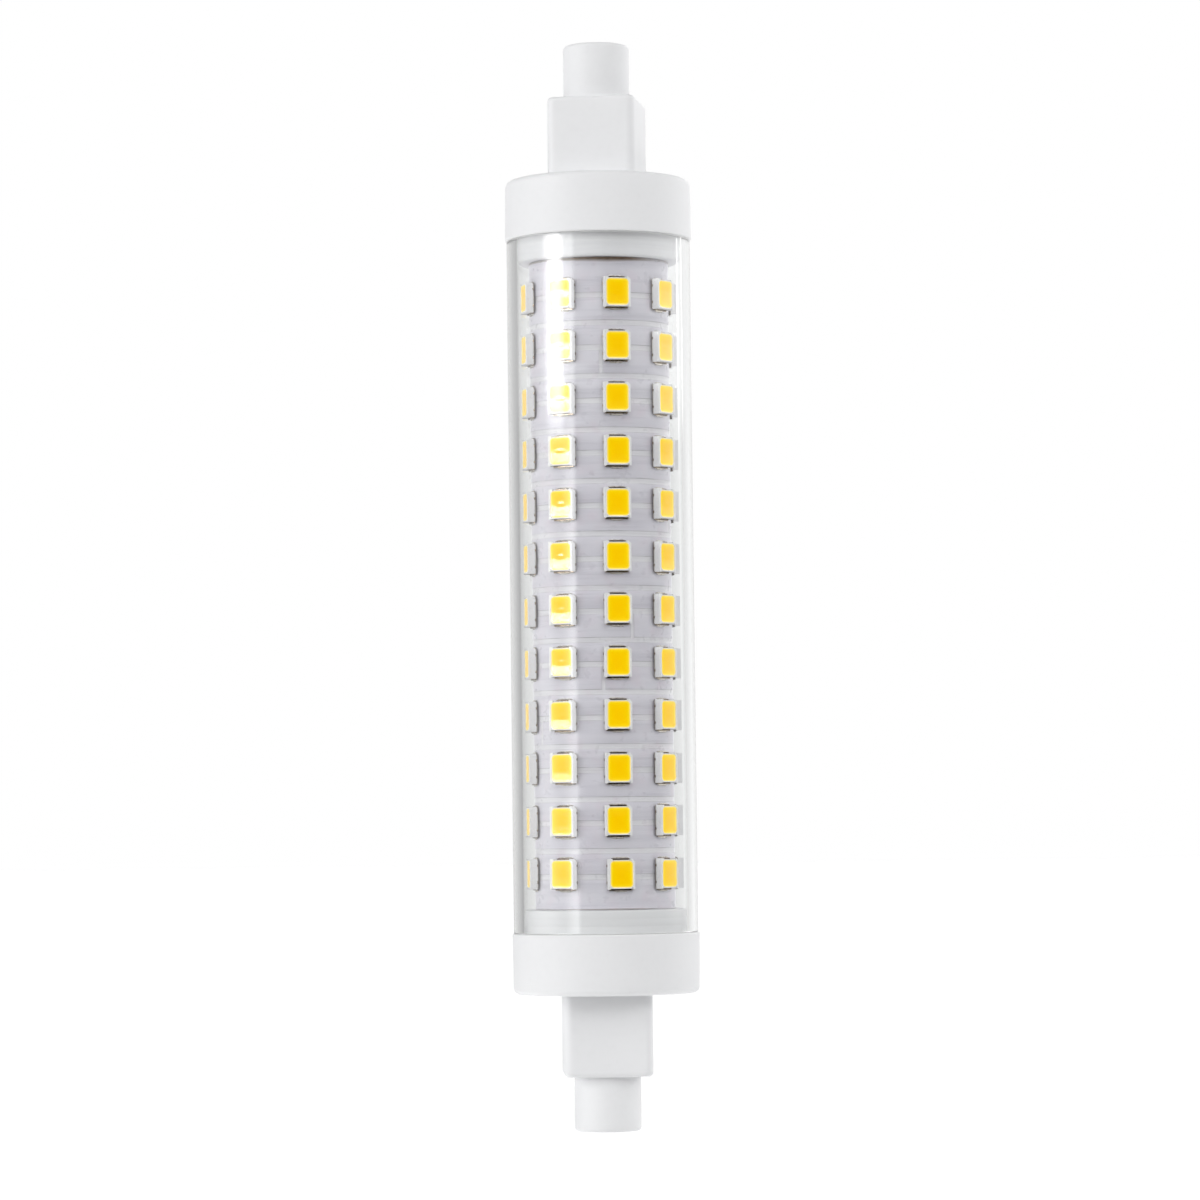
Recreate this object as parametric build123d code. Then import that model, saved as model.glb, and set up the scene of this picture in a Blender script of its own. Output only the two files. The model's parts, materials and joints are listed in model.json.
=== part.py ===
from build123d import *
import math
import os

os.makedirs("parts", exist_ok=True)

# ------------------------------------------------------------------ driving dimensions, mm
# The lamp's axis is Z and its origin is the middle of the lamp.
overall_length = 118.0        # nose end to nose end
contact_span = 114.2          # contact face to contact face

ring_radius = 10.15           # flange ring, at the tube side
ring_draft = 0.08             # the ring is this much smaller at the nose side
ring_z0 = 37.60               # tube side of the ring, from the lamp's middle
ring_z1 = 44.15               # nose side of the ring
ring_round_nose = 0.65        # edge rounding, nose side
ring_round_tube = 0.20        # edge rounding, tube side

spigot_radius = 8.82          # part of the cap inside the tube
spigot_z0 = 35.05
spigot_bore = 7.42            # takes the end of the board core
core_stop = 38.35             # depth of that bore
cavity_radius = 6.30
cavity_z1 = 42.40

neck_side = 9.60              # square neck
neck_corner = 0.95
neck_end_round = 0.50
neck_z1 = 53.00
upper_neck_turn = -9.0        # turn of the upper neck about Z, degrees
lower_neck_turn = 2.0         # turn of the lower neck about Z, degrees

nose_radius = 3.60
nose_round = 0.40
recess_radius = 2.30          # mouth of the contact recess
pocket_radius = 2.70          # bore behind the recess lip, down to the cavity

contact_radius = 2.66
contact_disc = 0.80
contact_dimple = 0.20
stem_radius = 1.00
stem_length = 3.30
crimp_hole = 0.55
crimp_depth = 2.00

tube_radius = 10.00
tube_bore = 8.90
tube_half = 37.55

board_radius = 7.60           # outer face of the rolled LED board
board_thick = 0.20
board_half = 35.00
seam_gap = 0.40

core_radius = 7.38
core_bore = 6.88
core_half = 38.20

led_columns = 8
led_rows = 12
led_column_0 = 13.30          # top LED of the front column, degrees from the front (-Y), towards +X
led_column_pitch = 42.20      # degrees from column to column; the rest of the turn is at the seam
led_row_turn = -0.30          # the board is rolled a little askew: degrees from row to row
led_pitch = 5.668
led_top_z = 31.15
led_wide = 2.82               # around the board
led_long = 3.28               # along the lamp
led_base = 0.04               # underside above the board
led_face = 0.815              # face above the board
led_notch_wide = 1.70
led_notch_deep = 0.12
led_cut_corner = 0.30
window_wide = 2.41
window_long = 2.85
window_corner = 0.40
window_deep = 0.42
phosphor_drop = 0.03
terminal_thick = 0.16
terminal_in = 0.90
terminal_out = 0.06
solder_out = 0.28
solder_high = 0.15
solder_wide = 1.80

sleeve_radius = 6.83
sleeve_bore = 6.60
sleeve_half = 30.5

driver_wide = 12.30
driver_y0 = -2.20             # underside of the driver board
driver_y1 = -1.20             # component side
driver_half = 29.0
lead_radius = 0.30
lead_hole = 0.42
lead_end_y = -2.95
joint_radius = 0.75
joint_high = 0.60

wire_radius = 0.50            # mains leads
feed_radius = 0.40            # LED feed wires
feed_hole = 0.45
feed_z = 33.90
feed_angles = (180.0, 160.0)  # degrees, same sense as the LED columns


# ------------------------------------------------------------------ helpers
def cyl(r, z0, z1):
    return Pos(0, 0, (z0 + z1) / 2) * Cylinder(r, z1 - z0)


def block(x0, x1, y0, y1, z0, z1):
    return Pos((x0 + x1) / 2, (y0 + y1) / 2, (z0 + z1) / 2) * Box(x1 - x0, y1 - y0, z1 - z0)


def ycyl(r, x, z, y0, y1):
    return Pos(x, (y0 + y1) / 2, z) * Rot(90, 0, 0) * Cylinder(r, y1 - y0)


def out_dir(deg):
    a = math.radians(deg)
    return (math.sin(a), -math.cos(a))


def round_bar(points, r, bend):
    path = FilletPolyline(*points, radius=bend) if len(points) > 2 else Polyline(*points)
    section = Plane(origin=path @ 0, z_dir=path % 0) * Circle(r)
    bar = sweep(section, path=path)
    return bar, path.length


def turned(points):
    return revolve(make_face(Polyline(*points, close=True)), axis=Axis.Z)


def save(name, shape):
    solids = shape.solids()
    body = solids[0] if len(solids) == 1 else Compound(solids)
    export_step(body, f"parts/{name}.step")
    print(f"{name:22s} solids {len(solids):4d}  volume {sum(s.volume for s in solids):10.3f}")


# ------------------------------------------------------------------ end caps
def end_cap(turn):
    r1 = ring_radius - ring_draft
    outline = make_face(
        Polyline(
            (0, 0, spigot_z0),
            (spigot_radius, 0, spigot_z0),
            (spigot_radius, 0, ring_z0),
            (ring_radius, 0, ring_z0),
            (r1, 0, ring_z1),
            (0, 0, ring_z1),
            close=True,
        )
    )
    corner = lambda x, z: [v for v in outline.vertices() if abs(v.X - x) < 1e-6 and abs(v.Z - z) < 1e-6]
    outline = fillet(corner(r1, ring_z1), ring_round_nose)
    outline = fillet(corner(ring_radius, ring_z0), ring_round_tube)
    outline = fillet(corner(spigot_radius, spigot_z0), 0.25)
    body = revolve(outline, axis=Axis.Z)

    neck = extrude(Plane.XY.offset(ring_z1 - 1.0) * RectangleRounded(neck_side, neck_side, neck_corner), neck_z1 - ring_z1 + 1.0)
    neck = fillet(neck.faces().sort_by(Axis.Z)[-1].edges(), neck_end_round)
    body += Rot(0, 0, turn) * neck

    end = overall_length / 2
    nose = cyl(nose_radius, neck_z1 - 1.0, end)
    nose = fillet(nose.faces().sort_by(Axis.Z)[-1].edges(), nose_round)
    body += nose

    body -= cyl(spigot_bore, spigot_z0 - 1, core_stop)
    body -= cyl(cavity_radius, spigot_z0, cavity_z1)
    body -= cyl(pocket_radius, spigot_z0, contact_span / 2)
    body -= cyl(recess_radius, contact_span / 2 - 1, end + 1)
    return body


upper_end_cap = end_cap(upper_neck_turn)
lower_end_cap = Rot(180, 0, 0) * end_cap(-lower_neck_turn)
save("upper_end_cap", upper_end_cap)
save("lower_end_cap", lower_end_cap)


# ------------------------------------------------------------------ contacts
def contact():
    face = contact_span / 2
    back = face - contact_disc
    rivet = turned(
        [
            (0, 0, face - contact_dimple),
            (0.8, 0, face - contact_dimple),
            (1.1, 0, face),
            (contact_radius, 0, face),
            (contact_radius, 0, back),
            (stem_radius, 0, back),
            (stem_radius, 0, back - stem_length),
            (crimp_hole, 0, back - stem_length),
            (crimp_hole, 0, back - stem_length + crimp_depth),
            (0, 0, back - stem_length + crimp_depth),
        ]
    )
    return rivet


upper_contact = contact()
lower_contact = Rot(180, 0, 0) * contact()
save("upper_contact", upper_contact)
save("lower_contact", lower_contact)

# ------------------------------------------------------------------ clear tube
save("clear_tube", cyl(tube_radius, -tube_half, tube_half) - cyl(tube_bore, -tube_half - 1, tube_half + 1))

# ------------------------------------------------------------------ rolled LED board and its core
seam_angle = led_column_0 + 180.0 - led_column_pitch / 2
sx, sy = out_dir(seam_angle)
led_board = cyl(board_radius, -board_half, board_half) - cyl(board_radius - board_thick, -board_half - 1, board_half + 1)
led_board -= Pos(sx * board_radius, sy * board_radius, 0) * Rot(0, 0, seam_angle) * Box(seam_gap, 2.0, 2 * board_half + 2)
board_core = cyl(core_radius, -core_half, core_half) - cyl(core_bore, -core_half - 1, core_half + 1)

feed_wires = []
feed_joints = []
feed_starts = ((-1.0, -0.79, 26.0), (0.9, -0.79, 26.0))
for angle, start in zip(feed_angles, feed_starts):
    nx, ny = out_dir(angle)
    hole = Plane(origin=(nx * 5.0, ny * 5.0, feed_z), z_dir=(nx, ny, 0)) * Cylinder(
        feed_hole, 6.0, align=(Align.CENTER, Align.CENTER, Align.MIN)
    )
    led_board -= hole
    board_core -= hole
    route = [
        start,
        (start[0], start[1], 30.6),
        (nx * 3.4, ny * 3.4, feed_z),
        (nx * 7.95, ny * 7.95, feed_z),
    ]
    wire, length = round_bar(route, feed_radius, 1.6)
    print("feed wire length", round(length, 2), "volume ratio", round(wire.volume / (math.pi * feed_radius**2 * length), 4))
    feed_wires.append(wire)
    dome = Pos(nx * 7.72, ny * 7.72, feed_z) * Sphere(0.72)
    dome -= cyl(board_radius, feed_z - 2, feed_z + 2)
    dome -= wire
    feed_joints.append(dome.solids().sort_by(SortBy.VOLUME)[-1])

save("led_board", led_board)
save("board_core", board_core)
save("led_feed_wires", Compound(feed_wires))
save("feed_solder_joints", Compound(feed_joints))

# ------------------------------------------------------------------ LEDs
hw, hl = led_wide / 2, led_long / 2
nw, nd = led_notch_wide / 2, led_notch_deep
plan = make_face(
    Polyline(
        (-hw, -hl), (-nw, -hl), (-nw, -hl + nd), (nw, -hl + nd), (nw, -hl),
        (hw, -hl), (hw, hl - led_cut_corner), (hw - led_cut_corner, hl),
        (nw, hl), (nw, hl - nd), (-nw, hl - nd), (-nw, hl), (-hw, hl),
        close=True,
    )
)
housing = extrude(Plane.XY.offset(led_base) * plan, led_face - led_base)
terminals = []
solders = []
for side in (-1, 1):
    y0, y1 = sorted((side * (hl - terminal_in), side * (hl + terminal_out)))
    plate = block(-nw, nw, y0, y1, led_base, led_base + terminal_thick)
    housing -= plate
    terminals.append(plate)
    ys = side * (hl + terminal_out)
    wedge_face = make_face(
        Polyline(
            (-solder_wide / 2, ys, 0.02),
            (-solder_wide / 2, ys + side * solder_out, 0.02),
            (-solder_wide / 2, ys, 0.02 + solder_high),
            close=True,
        )
    )
    solders.append(extrude(wedge_face, solder_wide, dir=(1, 0, 0)))
window = RectangleRounded(window_wide, window_long, window_corner)
housing -= extrude(Plane.XY.offset(led_face - window_deep) * window, window_deep + 0.1)
phosphor = extrude(Plane.XY.offset(led_face - window_deep) * window, window_deep - phosphor_drop)


def led_place(col, row):
    """Seat of one LED on the board, with the small scatter of placed parts."""
    k = col * led_rows + row
    slip = 0.035 * math.sin(2.3 * k + 0.7)
    lift = 0.030 * math.sin(3.1 * k + 1.9)
    if col == 0 and row == led_rows - 1:
        slip = 0.22
    side = col if col < led_columns / 2 else col - led_columns
    a = math.radians(led_column_0 + led_column_pitch * side + led_row_turn * row) + slip / board_radius
    nx, ny = math.sin(a), -math.cos(a)
    z = led_top_z - led_pitch * row + lift
    seat = Plane(origin=(nx * board_radius, ny * board_radius, z), x_dir=(math.cos(a), math.sin(a), 0), z_dir=(nx, ny, 0))
    return seat.location


housings, phosphors, all_terminals, all_solder = [], [], [], []
for col in range(led_columns):
    for row in range(led_rows):
        seat = led_place(col, row)
        housings.append(seat * housing.solids()[0])
        phosphors.append(seat * phosphor.solids()[0])
        all_terminals += [seat * t.solids()[0] for t in terminals]
        all_solder += [seat * s.solids()[0] for s in solders]
save("led_housings", Compound(housings))
save("led_phosphors", Compound(phosphors))
save("led_terminals", Compound(all_terminals))
save("led_solder", Compound(all_solder))

# ------------------------------------------------------------------ driver: sleeve and board
save("driver_sleeve", cyl(sleeve_radius, -sleeve_half, sleeve_half) - cyl(sleeve_bore, -sleeve_half - 1, sleeve_half + 1))

fuse_x, fuse_z = -3.0, 20.0
fuse_pads = [(fuse_x, fuse_z + 4.4), (fuse_x, fuse_z - 4.4)]
film_x, film_z = 2.6, 19.5
film_pads = [(film_x, film_z + 2.5), (film_x, film_z - 2.5)]
coil_z = 9.0
coil_pads = [(-1.9, coil_z), (1.9, coil_z)]
cin_z0, cin_z1, cin_r = -7.5, 4.0, 3.15
cin_pads = [(-1.25, cin_z1 + 1.0), (1.25, cin_z1 + 1.0)]
cout_z0, cout_z1, cout_r = -24.0, -13.0, 2.5
cout_pads = [(-1.0, cout_z1 + 1.0), (1.0, cout_z1 + 1.0)]
pads = fuse_pads + film_pads + coil_pads + cin_pads + cout_pads

driver_board = block(-driver_wide / 2, driver_wide / 2, driver_y0, driver_y1, -driver_half, driver_half)
for x, z in pads:
    driver_board -= ycyl(lead_hole, x, z, driver_y0 - 1, driver_y1 + 1)
save("driver_board", driver_board)

stand = 0.10                  # gap under each part on the board

# fusible resistor: dog-bone body on bent leads
fr_y = driver_y1 + stand + 1.3
fuse = Pos(fuse_x, fr_y, fuse_z) * Cylinder(1.05, 6.4)
for s in (-1, 1):
    fuse += Pos(fuse_x, fr_y, fuse_z + s * 2.4) * fillet(Cylinder(1.3, 1.6).edges(), 0.35)
    lead, _ = round_bar([(fuse_x, fr_y, fuse_z + s * 3.0), (fuse_x, fr_y, fuse_z + s * 4.4), (fuse_x, lead_end_y, fuse_z + s * 4.4)], lead_radius, 0.7)
    fuse += lead
save("fuse_resistor", fuse)

# film capacitor: dipped box on two leads
film = block(film_x - 1.7, film_x + 1.7, driver_y1 + stand, driver_y1 + stand + 5.0, film_z - 3.6, film_z + 3.6)
film = fillet(film.edges(), 0.5)
for x, z in film_pads:
    film += ycyl(lead_radius, x, z, lead_end_y, driver_y1 + stand + 0.6)
save("film_capacitor", film)

# inductor: ferrite drum with two pins, and its winding
coil_y = driver_y1 + stand
drum = ycyl(2.8, 0, coil_z, coil_y, coil_y + 1.0) + ycyl(1.3, 0, coil_z, coil_y + 0.5, coil_y + 5.0) + ycyl(2.8, 0, coil_z, coil_y + 4.5, coil_y + 5.5)
for x, z in coil_pads:
    drum += ycyl(lead_radius, x, z, lead_end_y, coil_y + 0.6)
save("inductor_core", drum)
save("inductor_winding", ycyl(2.5, 0, coil_z, coil_y + 1.02, coil_y + 4.48) - ycyl(1.33, 0, coil_z, coil_y, coil_y + 5.5))


# electrolytic capacitors, lying down, with the rolled groove near the seal end
def can(r, z0, z1, pad_list):
    y = driver_y1 + stand + r
    shell = turned(
        [
            (0, 0, z0), (r - 0.3, 0, z0), (r, 0, z0 + 0.3), (r, 0, z1 - 2.0), (r - 0.35, 0, z1 - 1.6),
            (r, 0, z1 - 1.2), (r, 0, z1 - 0.3), (r - 0.3, 0, z1), (0, 0, z1),
        ]
    )
    part = Pos(0, y, 0) * shell
    for x, z in pad_list:
        lead, _ = round_bar([(x, y, z1 - 0.5), (x, y, z), (x, lead_end_y, z)], lead_radius, 0.6)
        part += lead
    return part


save("input_capacitor", can(cin_r, cin_z0, cin_z1, cin_pads))
save("output_capacitor", can(cout_r, cout_z0, cout_z1, cout_pads))


# flat parts on the underside of the driver board
def flat_pack(z, long_z, wide_x, high, lead_zs, lead_wide):
    y1 = driver_y0 - stand
    part = block(-wide_x / 2, wide_x / 2, y1 - high, y1, z - long_z / 2, z + long_z / 2)
    part = chamfer(part.edges().filter_by(Axis.Z), 0.2)
    for s in (-1, 1):
        for dz in lead_zs:
            a, b, c = wide_x / 2 - 0.3, wide_x / 2 + 0.45, wide_x / 2 + 1.0
            z0, z1 = z + dz - lead_wide / 2, z + dz + lead_wide / 2
            y_mid = y1 - high / 2
            for x0, x1, ya, yb in ((a, b, y_mid - 0.1, y_mid + 0.1), (b - 0.2, b, y_mid - 0.1, driver_y0), (b - 0.2, c, driver_y0 - 0.2, driver_y0)):
                p, q = sorted((s * x0, s * x1))
                part += block(p, q, ya, yb, z0, z1)
    return part


save("bridge_rectifier", flat_pack(0.0, 4.7, 3.8, 1.5, (-1.27, 1.27), 0.6))
save("driver_ic", flat_pack(-7.0, 4.9, 3.9, 1.4, (-1.905, -0.635, 0.635, 1.905), 0.4))
chips = [block(x - 1.6, x + 1.6, driver_y0 - 0.57, driver_y0 - 0.02, z - 0.8, z + 0.8) for x, z in ((-2.6, -17.0), (2.6, -17.0), (-2.6, -20.0), (2.6, -20.0), (0.0, -23.5))]
save("chip_resistors", Compound(chips))

# ------------------------------------------------------------------ mains leads
lead_top = contact_span / 2 - contact_disc - stem_length + crimp_depth - 0.1
lead_y = driver_y1 + wire_radius + 0.01
upper_route = [(0, 0, lead_top), (0, 0, 45.0), (3.2, lead_y, 37.0), (3.2, lead_y, 26.5)]
lower_route = [(0, 0, -lead_top), (0, 0, -45.0), (-3.2, lead_y, -37.0), (-3.2, lead_y, -26.5)]
wires = {}
for name, route in (("upper_lead_wire", upper_route), ("lower_lead_wire", lower_route)):
    wires[name], length = round_bar(route, wire_radius, 6.0)
    print(name, "length", round(length, 2), "volume ratio", round(wires[name].volume / (math.pi * wire_radius**2 * length), 4))
    save(name, wires[name])

# ------------------------------------------------------------------ solder on the driver board
joints = []
for x, z in pads:
    cone = Pos(x, driver_y0 - joint_high / 2, z) * Rot(90, 0, 0) * Cone(joint_radius, 0.42, joint_high)
    cone -= ycyl(lead_radius, x, z, driver_y0 - 2, driver_y0 + 1)
    joints.append(cone.solids()[0])
ends = [
    (3.2, 26.2, wires["upper_lead_wire"], 0.80),
    (-3.2, -26.2, wires["lower_lead_wire"], 0.80),
    (feed_starts[0][0], 25.8, feed_wires[0], 0.70),
    (feed_starts[1][0], 25.8, feed_wires[1], 0.70),
]
for x, z, wire, r in ends:
    blob = Pos(x, driver_y1 + 0.2, z) * Sphere(r)
    blob -= block(x - 2, x + 2, driver_y1 - 2, driver_y1, z - 2, z + 2)
    blob -= wire
    joints.append(blob.solids().sort_by(SortBy.VOLUME)[-1])
save("driver_solder_joints", Compound(joints))
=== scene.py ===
"""Looks of a double-ended linear LED lamp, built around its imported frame.

Lengths are in millimetres and become metres when a mesh is made. +Z runs along the lamp
to its upper cap and -Y points to the side that faces the camera.
"""
import json
import math

import bpy
import bmesh
from mathutils import Matrix, Vector


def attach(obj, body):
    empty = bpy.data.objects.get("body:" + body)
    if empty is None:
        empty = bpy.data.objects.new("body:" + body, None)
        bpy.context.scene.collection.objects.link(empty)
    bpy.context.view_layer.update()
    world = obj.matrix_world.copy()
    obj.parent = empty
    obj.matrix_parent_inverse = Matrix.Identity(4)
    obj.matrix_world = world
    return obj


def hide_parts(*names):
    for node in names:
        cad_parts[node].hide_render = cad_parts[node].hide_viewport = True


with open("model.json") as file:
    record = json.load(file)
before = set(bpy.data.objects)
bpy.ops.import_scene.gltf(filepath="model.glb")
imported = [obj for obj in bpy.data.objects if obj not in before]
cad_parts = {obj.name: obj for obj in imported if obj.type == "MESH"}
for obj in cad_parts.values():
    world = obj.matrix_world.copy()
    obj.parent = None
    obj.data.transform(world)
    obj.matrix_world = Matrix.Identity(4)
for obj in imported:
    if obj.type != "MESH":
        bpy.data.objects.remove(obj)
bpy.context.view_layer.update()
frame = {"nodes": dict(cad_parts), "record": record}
NODES = frame["nodes"]

MM = 0.001

# ---------------------------------------------------------------- sizes, mm
LENGTH = 118.0

RING_R, RING_DRAFT = 10.15, 0.08
RING_Z0, RING_Z1 = 37.60, 44.15
RING_ROUND_OUT, RING_ROUND_IN = 0.65, 0.20
SPIGOT_R, SPIGOT_Z = 8.82, 35.05
BORE_R, BORE_Z = 7.42, 38.35
CAVITY_R, CAVITY_Z = 6.30, 42.40
NECK_HALF, NECK_CORNER, NECK_ROUND, NECK_Z = 4.80, 0.95, 0.50, 53.00
UPPER_TURN, LOWER_TURN = -9.0, 2.0
NOSE_R, NOSE_ROUND = 3.60, 0.40
RECESS_R, POCKET_R, POCKET_Z = 2.30, 2.70, 57.10

TUBE_R, TUBE_BORE, TUBE_HALF = 10.00, 8.90, 37.585

BOARD_R, BOARD_THICK, BOARD_HALF = 7.60, 0.20, 35.00
SEAM_DEG, SEAM_GAP = 172.20, 0.40

LED_W, LED_L = 2.82, 3.28
LED_BASE, LED_FACE = 0.04, 0.815
TOP_NOTCH_W, TOP_NOTCH_D = 1.96, 0.12
FOOT_NOTCH_W, FOOT_NOTCH_D = 2.44, 0.09
LED_CUT = 0.30
WIN_W, WIN_L, WIN_R = 2.39, 2.88, 0.43
COLS, ROWS = 8, 12
COL0_DEG, COL_PITCH, ROW0_Z, ROW_PITCH = 13.30, 42.20, 31.15, 5.668
BOARD_SKEW = -0.0576  # turn of the rolled board from its top row to its last, radians


# ---------------------------------------------------------------- mesh help
def make_object(name, verts, faces, sharp_deg=30.0, floats=None, face_mats=None, recalc=False):
    me = bpy.data.meshes.new(name)
    me.from_pydata([(x * MM, y * MM, z * MM) for x, y, z in verts], [], faces)
    if recalc:
        bm = bmesh.new()
        bm.from_mesh(me)
        bmesh.ops.recalc_face_normals(bm, faces=bm.faces)
        bm.to_mesh(me)
        bm.free()
    me.update()
    me.shade_smooth()
    if sharp_deg is not None:
        me.set_sharp_from_angle(angle=math.radians(sharp_deg))
    for key, values in (floats or {}).items():
        layer = me.attributes.new(key, "FLOAT", "POINT")
        layer.data.foreach_set("value", values)
    if face_mats:
        me.polygons.foreach_set("material_index", face_mats)
    ob = bpy.data.objects.new(name, me)
    bpy.context.scene.collection.objects.link(ob)
    return ob


def bridge(count, a, b, closed=True):
    """Quads between two loops of vertices that start at a and b."""
    out = []
    for i in range(count if closed else count - 1):
        j = (i + 1) % count
        out.append((a + i, a + j, b + j, b + i))
    return out


def arc(cx, cy, r, d0, d1, steps):
    """Points on an arc from angle d0 to d1, in degrees."""
    pts = []
    for k in range(steps + 1):
        a = math.radians(d0 + (d1 - d0) * k / steps)
        pts.append((cx + r * math.cos(a), cy + r * math.sin(a)))
    return pts


# ---------------------------------------------------------------- end caps
def cap_params():
    """Side, kind and place of each point of a loop: four flats and four corners."""
    pts = []
    for side in range(4):
        for k in range(24):
            pts.append((side, "flat", -1.0 + 2.0 * k / 24))
        for k in range(12):
            pts.append((side, "corner", 90.0 * k / 12))
    return pts


CAP_PARAMS = cap_params()


def square_loop(half, corner, z):
    out = []
    for side, kind, t in CAP_PARAMS:
        if kind == "flat":
            x, y = half, t * (half - corner)
        else:
            a = math.radians(t)
            x = half - corner + corner * math.cos(a)
            y = half - corner + corner * math.sin(a)
        a = math.radians(90 * side)
        out.append((x * math.cos(a) - y * math.sin(a), x * math.sin(a) + y * math.cos(a), z))
    return out


CAP_ANGLES = [math.atan2(y, x) for x, y, z in square_loop(NECK_HALF, NECK_CORNER, 0)]


def round_loop(r, z):
    return [(r * math.cos(a), r * math.sin(a), z) for a in CAP_ANGLES]


def cap_loops():
    loops = []

    def C(r, z):
        loops.append(round_loop(r, z))

    def S(half, corner, z):
        loops.append(square_loop(half, corner, z))

    top = LENGTH / 2
    # contact recess in the nose
    C(RECESS_R, POCKET_Z)
    C(RECESS_R, POCKET_Z + 0.08)
    for r, z in reversed(arc(RECESS_R + 0.14, top - 0.14, 0.14, 90, 180, 4)):
        C(r, z)
    # flat rim and rounded edge of the nose
    C(RECESS_R + 0.22, top)
    C(NOSE_R - NOSE_ROUND - 0.08, top)
    for r, z in reversed(arc(NOSE_R - NOSE_ROUND, top - NOSE_ROUND, NOSE_ROUND, 0, 90, 8)):
        C(r, z)
    C(NOSE_R, top - NOSE_ROUND - 0.15)
    # foot of the nose on the neck's end
    C(NOSE_R, NECK_Z + 0.35)
    for r, z in arc(NOSE_R + 0.20, NECK_Z + 0.20, 0.20, 180, 270, 4):
        C(r, z)
    C(NOSE_R + 0.27, NECK_Z)
    # square neck with a rounded end
    S(NECK_HALF - NECK_ROUND - 0.06, NECK_CORNER - NECK_ROUND - 0.06, NECK_Z)
    for d, z in reversed(arc(-NECK_ROUND, NECK_Z - NECK_ROUND, NECK_ROUND, 0, 90, 8)):
        S(NECK_HALF + d, NECK_CORNER + d, z)
    S(NECK_HALF, NECK_CORNER, NECK_Z - NECK_ROUND - 0.12)
    for z in (51.0, 49.0, 47.0):
        S(NECK_HALF, NECK_CORNER, z)
    S(NECK_HALF, NECK_CORNER, RING_Z1 + 0.40)
    for d, z in arc(0.25, RING_Z1 + 0.25, 0.25, 180, 270, 5):
        S(NECK_HALF + d, NECK_CORNER + d, z)
    S(NECK_HALF + 0.35, NECK_CORNER + 0.35, RING_Z1)
    # ring
    C(8.2, RING_Z1)
    nose_r = RING_R - RING_DRAFT
    C(nose_r - RING_ROUND_OUT - 0.12, RING_Z1)
    for r, z in reversed(arc(nose_r - RING_ROUND_OUT, RING_Z1 - RING_ROUND_OUT, RING_ROUND_OUT, 2, 90, 9)):
        C(r, z)
    for k in range(1, 5):
        z = RING_Z1 - RING_ROUND_OUT - (RING_Z1 - RING_ROUND_OUT - RING_Z0 - RING_ROUND_IN) * k / 5
        C(RING_R - RING_DRAFT * (z - RING_Z0) / (RING_Z1 - RING_Z0), z)
    C(RING_R - 0.003, RING_Z0 + RING_ROUND_IN + 0.06)
    for r, z in reversed(arc(RING_R - RING_ROUND_IN, RING_Z0 + RING_ROUND_IN, RING_ROUND_IN, -90, 0, 6)):
        C(r, z)
    C(RING_R - RING_ROUND_IN - 0.08, RING_Z0)
    C(SPIGOT_R + 0.08, RING_Z0)
    # spigot inside the tube, with two shallow turned lines
    C(SPIGOT_R, RING_Z0 - 0.03)
    C(SPIGOT_R, RING_Z0 - 0.15)
    for z in (36.78, 35.98):
        C(SPIGOT_R, z + 0.10)
        C(SPIGOT_R - 0.012, z + 0.03)
        C(SPIGOT_R - 0.012, z - 0.03)
        C(SPIGOT_R, z - 0.10)
    for r, z in reversed(arc(SPIGOT_R - 0.22, SPIGOT_Z + 0.22, 0.22, -90, 0, 5)):
        C(r, z)
    C(SPIGOT_R - 0.30, SPIGOT_Z)
    # bore and cavity
    C(BORE_R + 0.10, SPIGOT_Z)
    C(BORE_R, SPIGOT_Z + 0.08)
    C(BORE_R, BORE_Z)
    C(CAVITY_R, BORE_Z)
    C(CAVITY_R, CAVITY_Z)
    C(POCKET_R, CAVITY_Z)
    C(POCKET_R, POCKET_Z)
    return loops


def end_cap(name, lower, turn_deg):
    loops = cap_loops()
    n = len(CAP_PARAMS)
    turn = math.radians(-turn_deg if lower else turn_deg)
    c, s = math.cos(turn), math.sin(turn)
    verts = []
    for loop in loops:
        for x, y, z in loop:
            px, py, pz = x * c - y * s, x * s + y * c, z
            if lower:
                py, pz = -py, -pz
            verts.append((px, py, pz))
    faces = []
    for k in range(len(loops)):
        faces += bridge(n, k * n, ((k + 1) % len(loops)) * n)
    # painted shade on the spigot, which the tube covers: 1 on the upper cap, 0.15 on the lower
    spigot_shade = 0.15 if lower else 1.0
    spigot_shade_mask = [spigot_shade if abs(z) < RING_Z0 - 0.01 and math.hypot(x, y) > BORE_R + 0.05 else 0.0 for x, y, z in verts]
    return make_object(name, verts, faces, sharp_deg=38, floats={"painted_spigot_shade": spigot_shade_mask}, recalc=True)


# ---------------------------------------------------------------- clear tube
def clear_tube():
    n = 320
    edge, near = 0.10, 0.03
    steps = 12
    run = TUBE_HALF - edge - near
    prof = []
    for r, z in arc(TUBE_R - edge, TUBE_HALF - edge, edge, 0, 90, 5):
        prof.append((r, z))
    for r, z in arc(TUBE_BORE + edge, TUBE_HALF - edge, edge, 90, 180, 5):
        prof.append((r, z))
    for k in range(steps + 1):
        prof.append((TUBE_BORE, run * (1 - 2 * k / steps)))
    for r, z in arc(TUBE_BORE + edge, -TUBE_HALF + edge, edge, 180, 270, 5):
        prof.append((r, z))
    for r, z in arc(TUBE_R - edge, -TUBE_HALF + edge, edge, 270, 360, 5):
        prof.append((r, z))
    for k in range(steps + 1):
        prof.append((TUBE_R, run * (-1 + 2 * k / steps)))
    verts = []
    for r, z in prof:
        for i in range(n):
            a = 2 * math.pi * i / n
            verts.append((r * math.cos(a), r * math.sin(a), z))
    faces = []
    for k in range(len(prof)):
        faces += bridge(n, k * n, ((k + 1) % len(prof)) * n)
    return make_object("clear_tube_glass", verts, faces, sharp_deg=50, recalc=True)


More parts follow.
